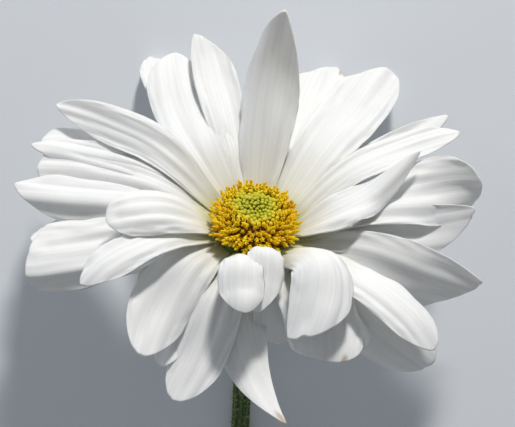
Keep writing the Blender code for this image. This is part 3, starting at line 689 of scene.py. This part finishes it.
def make_disc(settings):
    """The domed disc: closed buds in the middle, open florets round them."""
    chance = random.Random(settings.seed)
    buds, florets = Skin("grown", "tone", "ripe"), Skin("grown", "tone", "ripe")
    disc_core(florets, BUD_ZONE - 0.05, DISC_RADIUS - 0.1)
    disc_core(buds, 0.02, BUD_ZONE - 0.1)
    for index in range(settings.count):
        radius = DISC_RADIUS * math.sqrt((index + 0.5) / settings.count)
        azimuth = index * GOLDEN_ANGLE + chance.gauss(0, 0.12) / (1 + radius)
        outward = on_head(1.0, azimuth, 0.0)
        tone, spin = chance.random(), chance.uniform(0, math.tau)
        sway = on_head(1.0, azimuth + 0.5 * math.pi, 0.0) * chance.gauss(0, 0.14)
        from_middle = (outward * radius - BACK * BUD_SHIFT).length
        edge = BUD_ZONE + 0.8 * noise.noise(Vector((2 * math.cos(azimuth), 2 * math.sin(azimuth), 1.3)))
        if from_middle < edge:
            skin, rows = buds, BUD
            outer = smooth_step(from_middle, 0.0, edge)
            lean = 0.9 * dome_out(radius) + chance.gauss(0, 0.05)
            size = (0.28 + 0.10 * outer) * chance.uniform(0.8, 1.2)
            length, lobe_lift, ripe = BUD_LENGTH * size, 0.0, outer ** 3
            base = on_head(radius, azimuth, dome_height(radius) + chance.uniform(-0.12, 0.12))
        else:
            skin = florets
            ripe = smooth_step(from_middle, edge, DISC_RADIUS)
            front, back = max(-math.sin(azimuth), 0.0), max(math.sin(azimuth), 0.0)
            lean = INNER_LEAN + ripe * (RIM_LEAN - BACK_LIFT * math.sin(azimuth)) + chance.gauss(0, 0.16)
            base = (on_head(radius, azimuth, dome_height(min(radius, FEET_RADIUS)))
                    - outward * (RIM_INSET * ripe * (1 - front)))
            length = 1.0 + (0.55 + FRONT_GROWTH * front + BACK_GROWTH * back) * ripe
            length += chance.uniform(-0.3, 0.35)
            opened = ripe + chance.uniform(-0.15, 0.15) > 0.1
            rows = FLORET_TUBE + (OPEN_TOP if opened else CLOSED_TOP)
            lobe_lift = LOBE_LIFT * length if opened else 0.0
            size = (0.95 + 0.15 * ripe) * chance.uniform(0.8, 1.15)
        direction = (AXIS * math.cos(lean) + outward * math.sin(lean) + sway).normalized()
        lobed_tube(skin, rows, base, direction, spin, size, length, lobe_lift, tone, ripe)
    florets.made("disc_florets_fine", floret_finish(settings), ("disc_florets",), "disc_florets")
    buds.made("disc_buds_fine", bud_finish(settings), ("disc_buds",), "disc_buds")


def green_finish(settings):
    """Green skin of the bracts: a darker midrib, pale dry margins and a fine grain."""
    finish = Finish("bract_green", {
        "Subsurface Weight": 0.1, "Subsurface Radius": (0.5, 1.0, 0.2), "Subsurface Scale": 0.0003,
        "Specular IOR Level": 0.35})
    along, margin = map(finish.value, ("along", "margin"))
    grain = finish.grain(900.0, 4.0, 0.6)
    green = finish.mix(finish.ramp(grain, 0.3, 0.75), settings.dark, settings.light)
    midrib = finish.ramp(margin + (grain - 0.5) * 0.3, 0.35, 0.0)
    green = finish.mix(midrib * 0.6, green, settings.dark)
    dry = finish.ramp(margin + along * 0.22 + (grain - 0.5) * 0.3, 0.82, 1.05)
    finish.feed("Base Color", finish.mix(dry, green, settings.margin))
    finish.feed("Roughness", 0.5 + grain * 0.25)
    finish.bump(grain, 0.5, 0.0001)
    return finish.material


def stem_finish(settings):
    """Green ribbed stem: ribs painted lighter and furrows darker as painted light and shade, a few brown
    flecks, and a pale cut end.
    """
    finish = Finish("stem_green", {
        "Subsurface Weight": 0.1, "Subsurface Radius": (0.5, 1.0, 0.2), "Subsurface Scale": 0.0004,
        "Specular IOR Level": 0.4})
    around, along, rib, cut = map(finish.value, ("around", "along", "rib", "cut"))
    streaks = finish.grain(1.0, 4.0, 0.6, (around * 60.0, along * 9.0))
    blotch = finish.grain(240.0, 3.0)
    # Painted light and shade: the ribs are lightened and the furrows darkened
    lit = finish.ramp(rib * 0.7 + (streaks - 0.5) * 0.9, 0.1, 1.0)
    green = finish.mix(lit, settings.dark, settings.light)
    green = finish.mix(finish.ramp(finish.grain(1900.0), 0.52, 0.66) * 0.7, green, settings.speck)
    green = finish.mix(finish.ramp(blotch, 0.58, 0.78) * 0.4, green, settings.fleck)
    middle = finish.ramp(cut + (blotch - 0.5) * 0.1, 0.45, 0.75)
    pith = finish.mix(middle, settings.light, settings.pith)
    finish.feed("Base Color", finish.mix(finish.ramp(cut, 0.1, 0.35), green, pith))
    finish.feed("Roughness", 0.42 + streaks * 0.25)
    finish.bump(streaks, 0.5, 0.0001)
    return finish.material


def hair_finish(settings):
    """Short plant hairs, green at the root and pale at the tip."""
    finish = Finish("plant_hair", {"Subsurface Weight": 0.2, "Subsurface Scale": 0.0003})
    pale = finish.ramp(finish.value("along"), 0.0, 0.7)
    finish.feed("Base Color", finish.mix(pale, settings.light, settings.hair))
    return finish.material


def cup_profile(share):
    """Radius and height of the cup's outside, from the neck (0) to the rim (1)."""
    radius = NECK_RADIUS + (CUP_RIM_RADIUS - NECK_RADIUS) * math.sin(0.5 * math.pi * share)
    return radius, CUP_FOOT + (CUP_RIM_HEIGHT - CUP_FOOT) * share ** 1.6


def add_bract(skin, azimuth, low, high, width, row, chance):
    """One bract of the cup, a thin pointed scale with a papery margin."""
    lift, twist = chance.uniform(-0.1, 0.12), chance.uniform(-0.05, 0.05)
    outward = on_head(BRACT_FACE[0], azimuth, BRACT_FACE[1])
    acrosses = spaced(BRACT_GRID[1])
    margins = [abs(across) for across in acrosses]
    places, lifts, values = [], [], []
    for along in spaced(BRACT_GRID[0], 0, 1):
        radius, height = cup_profile(low + (high - low) * along)
        half = 0.5 * width * (1 - along ** 2.6) ** 0.6 * (0.7 + 0.6 * min(along, 0.5))
        line = []
        for across in acrosses:
            stand = (0.42 + lift) * along + 0.14 * row - 0.05 - 0.16 * across ** 2
            spot = azimuth + across * half / (radius + 0.4) + twist * along
            line.append(on_head(radius, spot, height) + outward * stand)
        places.append(line)
        thick = BRACT_THICKNESS * (1 - 0.5 * along)
        lifts.append([(0.0, thick * (1 - 0.6 * margin ** 2)) for margin in margins])
        values.append({"along": along, "margin": margins})
    skin.sheet(places, lifts, values)


def make_cup(settings):
    """The green cup under the head: the receptacle inside three rows of bracts."""
    chance = random.Random(settings.seed)
    skin = Skin("along", "margin")
    profile = [(0.3, NECK_HEIGHT), (NECK_RADIUS, NECK_HEIGHT)]
    profile += [cup_profile(share) for share in spaced(17, 0, 1)]
    profile += [(CUP_RIM_RADIUS - 0.1, -1.2), (5.2, 0.7), (4.1, 1.35), (0.3, 1.5)]
    skin.tube([skin.ring(head_ring(radius, height, CUP_SIDES), along=0.3, margin=0.4)
               for radius, height in profile])
    for row, (low, high, width, count) in enumerate(BRACT_ROWS):
        for index in range(count):
            turn = (index + 0.5 * row + chance.uniform(-0.1, 0.1)) / count
            add_bract(skin, math.tau * turn, low, high + chance.uniform(-0.06, 0.02),
                      width * chance.uniform(0.9, 1.1), row, chance)
    skin.made("green_cup", green_finish(settings), ("involucre",), "involucre")


def stem_route():
    """Points down the middle of the stem: a bent neck, then a run along the surface."""
    floor = STEM_RADIUS * (1 + RIB_DEPTH) - HEAD.z
    top = AXIS * (NECK_HEIGHT - STEM_GAP)
    landing, end = Vector((*TOUCHDOWN, floor)), Vector((*STEM_END, floor))
    run = (end - landing).normalized()
    pull_top, pull_landing = top - AXIS * NECK_PULL, landing - run * LANDING_PULL
    points = []
    for i in range(NECK_STEPS):
        t = i / NECK_STEPS
        points.append(top * (1 - t) ** 3 + pull_top * (3 * t * (1 - t) ** 2)
                      + pull_landing * (3 * t * t * (1 - t)) + landing * t ** 3)
    across = run.cross(Vector((0, 0, 1)))
    for t in spaced(RUN_STEPS + 1, 0, 1):
        points.append(landing.lerp(end, t) + across * (STEM_BOW * math.sin(math.pi * t) ** 2))
    return points


def make_stem(settings):
    """The ribbed stem with its cut end, and its short hairs."""
    chance = random.Random(settings.seed + STEM_SEED)
    points = stem_route()
    skin, hairs = Skin("around", "along", "rib", "cut"), Skin("along")
    arounds = [k / STEM_SIDES for k in range(STEM_SIDES)]
    rings, across = [], SIDE
    last = len(points) - 1
    for i, point in enumerate(points):
        run = (points[min(i + 1, last)] - points[i - 1]).normalized() if i else -AXIS
        across = (across - run * across.dot(run)).normalized()
        other = run.cross(across)
        swell = 1 + NECK_SWELL * smooth_step(i, SWELL_STEPS, 0)
        swell += UNEVENNESS * noise.noise(Vector((0.0, 0.0, i * 0.21)))
        if i > SWELL_STEPS:
            swell = min(swell, 1.0)
        ring, ribs = [], []
        for around in arounds:
            angle = math.tau * around
            rib = 0.5 + 0.5 * math.cos(STEM_RIBS * angle)
            radius = STEM_RADIUS * swell * (1 - RIB_DEPTH + 2 * RIB_DEPTH * rib ** 0.7)
            ring.append(point + spoke(across, other, angle) * radius)
            ribs.append(rib)
        rings.append(skin.ring(ring, around=arounds, rib=ribs, along=i / last))
        for _ in range(settings.hairs_per_step):
            out = spoke(across, other, chance.uniform(0, math.tau))
            step = chance.random() * (points[min(i + 1, last)] - point).length
            root = point + run * step + out * (STEM_RADIUS * 0.97)
            add_hair(hairs, root, out, -run, settings.hair_length, chance)
    for share, sunk in CUT_RINGS:
        ring = [point + (skin.points[k] - point) * share - run * sunk for k in rings[last]]
        rings.append(skin.ring(ring, along=1.0, rib=0.5, cut=1.2 - share))
    skin.tube(rings)
    skin.made("stem_skin", stem_finish(settings), ("stem",), "stem")
    hairs.made("stem_hairs", hair_finish(settings), (), "stem")


def add_hair(skin, base, out, up, length, chance):
    """One short hair: three-sided, leaning a little up the stem."""
    direction = out + up * chance.uniform(-0.2, 0.7) + out.orthogonal() * chance.uniform(-0.3, 0.3)
    direction.normalize()
    if (base + direction * length).z < HAIR_CLEARANCE - HEAD.z:
        return
    across = direction.orthogonal().normalized()
    other = direction.cross(across)
    size = length * chance.uniform(0.5, 1.1)
    rings = []
    for share, radius in HAIR_RINGS:
        centre = base + direction * (size * share) + up * (0.15 * size * share ** 2)
        ring = [centre + spoke(across, other, angle) * radius for angle in (0.0, 2.1, 4.2)]
        rings.append(skin.ring(ring, along=share))
    skin.tube(rings)


def make_stage(scene, settings):
    """A pale floor, a soft key light, a weak fill light, light all round, and the camera above."""
    floor_finish = Finish("floor_paper", {"Roughness": 0.9, "Specular IOR Level": 0.1})
    colour = floor_finish.mix(floor_finish.grain(3.0) * 0.08, settings.floor, (0.9, 0.9, 0.9))
    floor_finish.feed("Base Color", colour)
    floor_mesh = bpy.data.meshes.new("floor")
    reach = 6.0
    corners = [(-reach, -reach, 0), (reach, -reach, 0), (reach, reach, 0), (-reach, reach, 0)]
    floor_mesh.from_pydata(corners, [], [(0, 1, 2, 3)])
    floor_mesh.materials.append(floor_finish.material)
    floor = placed("floor", floor_mesh)

    world = bpy.data.worlds.new("soft_surroundings")
    world.use_nodes = True
    background = world.node_tree.nodes["Background"]
    background.inputs["Color"].default_value = opaque(settings.sky)
    background.inputs["Strength"].default_value = settings.sky_strength
    scene.world = world

    head = HEAD * MM
    fill_power = 0.14 * settings.key_power
    lights = (
        ("key", (0.16, 0.89, 0.45), 0.9, settings.key_power, settings.key_size, (1.0, 0.97, 0.92)),
        ("fill", (-0.80, 0.55, 0.22), 1.0, fill_power, 0.3, (0.9, 0.95, 1.0)),
    )
    for name, toward, distance, power, size, tint in lights:
        data = bpy.data.lights.new(name, "AREA")
        data.energy, data.size, data.color = power, size, tint
        direction = Vector(toward)
        light = placed(name, data)
        light.location = head + direction.normalized() * distance
        light.rotation_euler = (-direction).to_track_quat("-Z", "Y").to_euler()

    camera_data = bpy.data.cameras.new("camera")
    camera_data.sensor_width = SENSOR
    camera_data.lens = SENSOR * CAMERA_HEIGHT / (PHOTO_WIDTH * PIXEL)
    camera_data.clip_start, camera_data.clip_end = 0.01, 20.0
    camera = placed("camera", camera_data)
    camera.location = head + Vector((*CAMERA_SHIFT, CAMERA_HEIGHT)) * MM
    scene.camera = camera
    scene.view_settings.view_transform = "Standard"


def colour_setting(name, description, default):
    return bpy.props.FloatVectorProperty(name=name, description=description, default=default,
                                         subtype="COLOR", size=3, min=0.0, max=1.0)


def number_setting(name, description, default, low, high):
    return bpy.props.FloatProperty(name=name, description=description, default=default,
                                   min=low, max=high)


class RaySettings(bpy.types.PropertyGroup):
    """Sizes and colours of the ray petals. Sizes are in millimetres."""

    thickness: number_setting("Thickness", "Thickness at the midrib, in millimetres", 0.36, 0.1, 0.6)
    groove: number_setting("Grooves", "Depth of the lengthwise grooves, in millimetres", 0.2, 0.0, 0.6)
    rib: number_setting("Ribs", "Height of the broad lengthwise ribs, in millimetres", 0.4, 0.0, 1.0)
    crumple: number_setting("Crumple", "Height of a petal's unevenness, in millimetres", 0.5, 0.0, 1.5)
    notch: number_setting("Notch", "Depth of a tip's notches, as a share of the length", 0.007, 0.0, 0.1)
    white: colour_setting("White", "Lightest colour of a petal", (0.93, 0.93, 0.92))
    shade: colour_setting("Vein", "Colour along the veins", (0.82, 0.83, 0.83))
    underside: colour_setting("Underside", "Colour of the back of a petal", (0.80, 0.82, 0.76))
    # Partly a warm tint, partly painted shade near the disc
    throat_tint_and_shade: colour_setting("Throat", "Warm tint of the half nearer the disc", (0.72, 0.69, 0.55))
    root: colour_setting("Root", "Tint where a petal leaves the disc", (0.50, 0.52, 0.16))
    bruise: colour_setting("Bruise", "Colour of a bruised spot", (0.42, 0.30, 0.14))


class DiscSettings(bpy.types.PropertyGroup):
    """Number and colours of the disc's florets and buds."""

    count: bpy.props.IntProperty(
        name="Florets", description="Florets and buds together", default=330, min=100, max=500)
    seed: bpy.props.IntProperty(name="Seed", description="Changes how the florets sway", default=11)
    gold: colour_setting("Gold", "Darker colour of a floret", (0.81, 0.51, 0.002))
    yellow: colour_setting("Yellow", "Lighter colour of a floret", (0.95, 0.73, 0.008))
    young: colour_setting("Young", "Colour of florets about to open", (0.74, 0.60, 0.015))
    anther: colour_setting("Anther", "Colour of the pollen tips", (0.90, 0.42, 0.005))
    # Painted shade between the florets and at their roots
    pit_shade: colour_setting("Pit", "Colour between the florets", (0.26, 0.11, 0.004))
    bud: colour_setting("Bud", "Darker colour of a bud", (0.40, 0.40, 0.008))
    # Also lightens the top of each bud as a painted highlight
    bud_light_and_highlight: colour_setting("Bud top", "Lighter colour of a bud", (0.55, 0.54, 0.025))
    # Painted shade between the buds
    bud_pit_shade: colour_setting("Bud pit", "Colour between the buds", (0.17, 0.17, 0.006))


class GreenSettings(bpy.types.PropertyGroup):
    """Colours of the cup and the stem, and the stem's hairs."""

    seed: bpy.props.IntProperty(name="Seed", description="Changes the bracts and hairs", default=5)
    hairs_per_step: bpy.props.IntProperty(
        name="Hairs", description="Hairs at each step along the stem", default=64, min=0, max=80)
    hair_length: number_setting("Hair length", "Usual length of a hair, in millimetres", 0.7, 0.1, 1.5)
    # On the stem, dark and light paint the shade of the furrows and the light on the ribs
    dark: colour_setting("Dark green", "Colour of furrows and midribs", (0.035, 0.075, 0.012))
    light: colour_setting("Light green", "Colour of ribs and bract faces", (0.12, 0.20, 0.04))
    margin: colour_setting("Margin", "Dry edge of a bract", (0.55, 0.48, 0.28))
    speck: colour_setting("Speckle", "Pale specks all over the stem", (0.30, 0.38, 0.15))
    fleck: colour_setting("Fleck", "Brownish flecks on the stem", (0.14, 0.09, 0.03))
    pith: colour_setting("Pith", "Inside of the cut stem", (0.70, 0.74, 0.50))
    hair: colour_setting("Hair", "Tips of the hairs", (0.70, 0.74, 0.55))


class StageSettings(bpy.types.PropertyGroup):
    """Floor, light and surroundings."""

    floor: colour_setting("Floor", "Colour of the floor", (0.86, 0.90, 0.96))
    sky: colour_setting("Surroundings", "Colour of the soft light all round", (0.90, 0.94, 1.0))
    sky_strength: number_setting("Soft light", "Strength of the light all round", 0.24, 0.0, 3.0)
    key_power: bpy.props.FloatProperty(
        name="Key light", description="Power of the main light", default=6.8, min=0.0, subtype="POWER",
        unit="POWER")
    key_size: bpy.props.FloatProperty(
        name="Key size", description="Width of the main light", default=0.11, min=0.01, unit="LENGTH")


class DAISY_OT_rays(bpy.types.Operator):
    """Make the ray petals, one piece for each"""

    bl_idname = "daisy.rays"
    bl_label = "Ray petals"

    def execute(self, context):
        settings = context.scene.daisy_rays
        finish = petal_finish(settings)
        for index, ray in enumerate(RAYS):
            make_ray(ray, index, finish, settings)
        return {"FINISHED"}


class DAISY_OT_disc(bpy.types.Operator):
    """Make the disc of florets and buds"""

    bl_idname = "daisy.disc"
    bl_label = "Disc"

    def execute(self, context):
        make_disc(context.scene.daisy_disc)
        return {"FINISHED"}


class DAISY_OT_cup(bpy.types.Operator):
    """Make the green cup of bracts under the head"""

    bl_idname = "daisy.cup"
    bl_label = "Green cup"

    def execute(self, context):
        make_cup(context.scene.daisy_green)
        return {"FINISHED"}


class DAISY_OT_stem(bpy.types.Operator):
    """Make the stem and its hairs"""

    bl_idname = "daisy.stem"
    bl_label = "Stem"

    def execute(self, context):
        make_stem(context.scene.daisy_green)
        return {"FINISHED"}


class DAISY_OT_stage(bpy.types.Operator):
    """Make the floor, the lights and the camera"""

    bl_idname = "daisy.stage"
    bl_label = "Stage"

    def execute(self, context):
        make_stage(context.scene, context.scene.daisy_stage)
        return {"FINISHED"}


class DAISY_PT_panel(bpy.types.Panel):
    """Lists the settings and steps of the daisy"""

    bl_idname = "DAISY_PT_panel"
    bl_label = "White daisy"
    bl_space_type = "VIEW_3D"
    bl_region_type = "UI"
    bl_category = "Daisy"

    def draw(self, context):
        for group, operators in PANEL_ROWS:
            box = self.layout.box()
            settings = getattr(context.scene, group)
            for name in settings.bl_rna.properties.keys():
                if name not in ("rna_type", "name"):
                    box.prop(settings, name)
            for operator in operators:
                box.operator(operator)


PANEL_ROWS = (
    ("daisy_rays", ("daisy.rays",)),
    ("daisy_disc", ("daisy.disc",)),
    ("daisy_green", ("daisy.cup", "daisy.stem")),
    ("daisy_stage", ("daisy.stage",)),
)
GROUPS = {"daisy_rays": RaySettings, "daisy_disc": DiscSettings, "daisy_green": GreenSettings,
          "daisy_stage": StageSettings}
CLASSES = (*GROUPS.values(), DAISY_OT_rays, DAISY_OT_disc, DAISY_OT_cup, DAISY_OT_stem, DAISY_OT_stage,
           DAISY_PT_panel)


def register():
    for cls in CLASSES:
        bpy.utils.register_class(cls)
    for name, group in GROUPS.items():
        setattr(bpy.types.Scene, name, bpy.props.PointerProperty(type=group))


def unregister():
    for name in GROUPS:
        delattr(bpy.types.Scene, name)
    for cls in reversed(CLASSES):
        bpy.utils.unregister_class(cls)


def main():
    register()
    bpy.ops.daisy.rays()
    bpy.ops.daisy.disc()
    bpy.ops.daisy.cup()
    bpy.ops.daisy.stem()
    bpy.ops.daisy.stage()


if __name__ == "__main__":
    main()
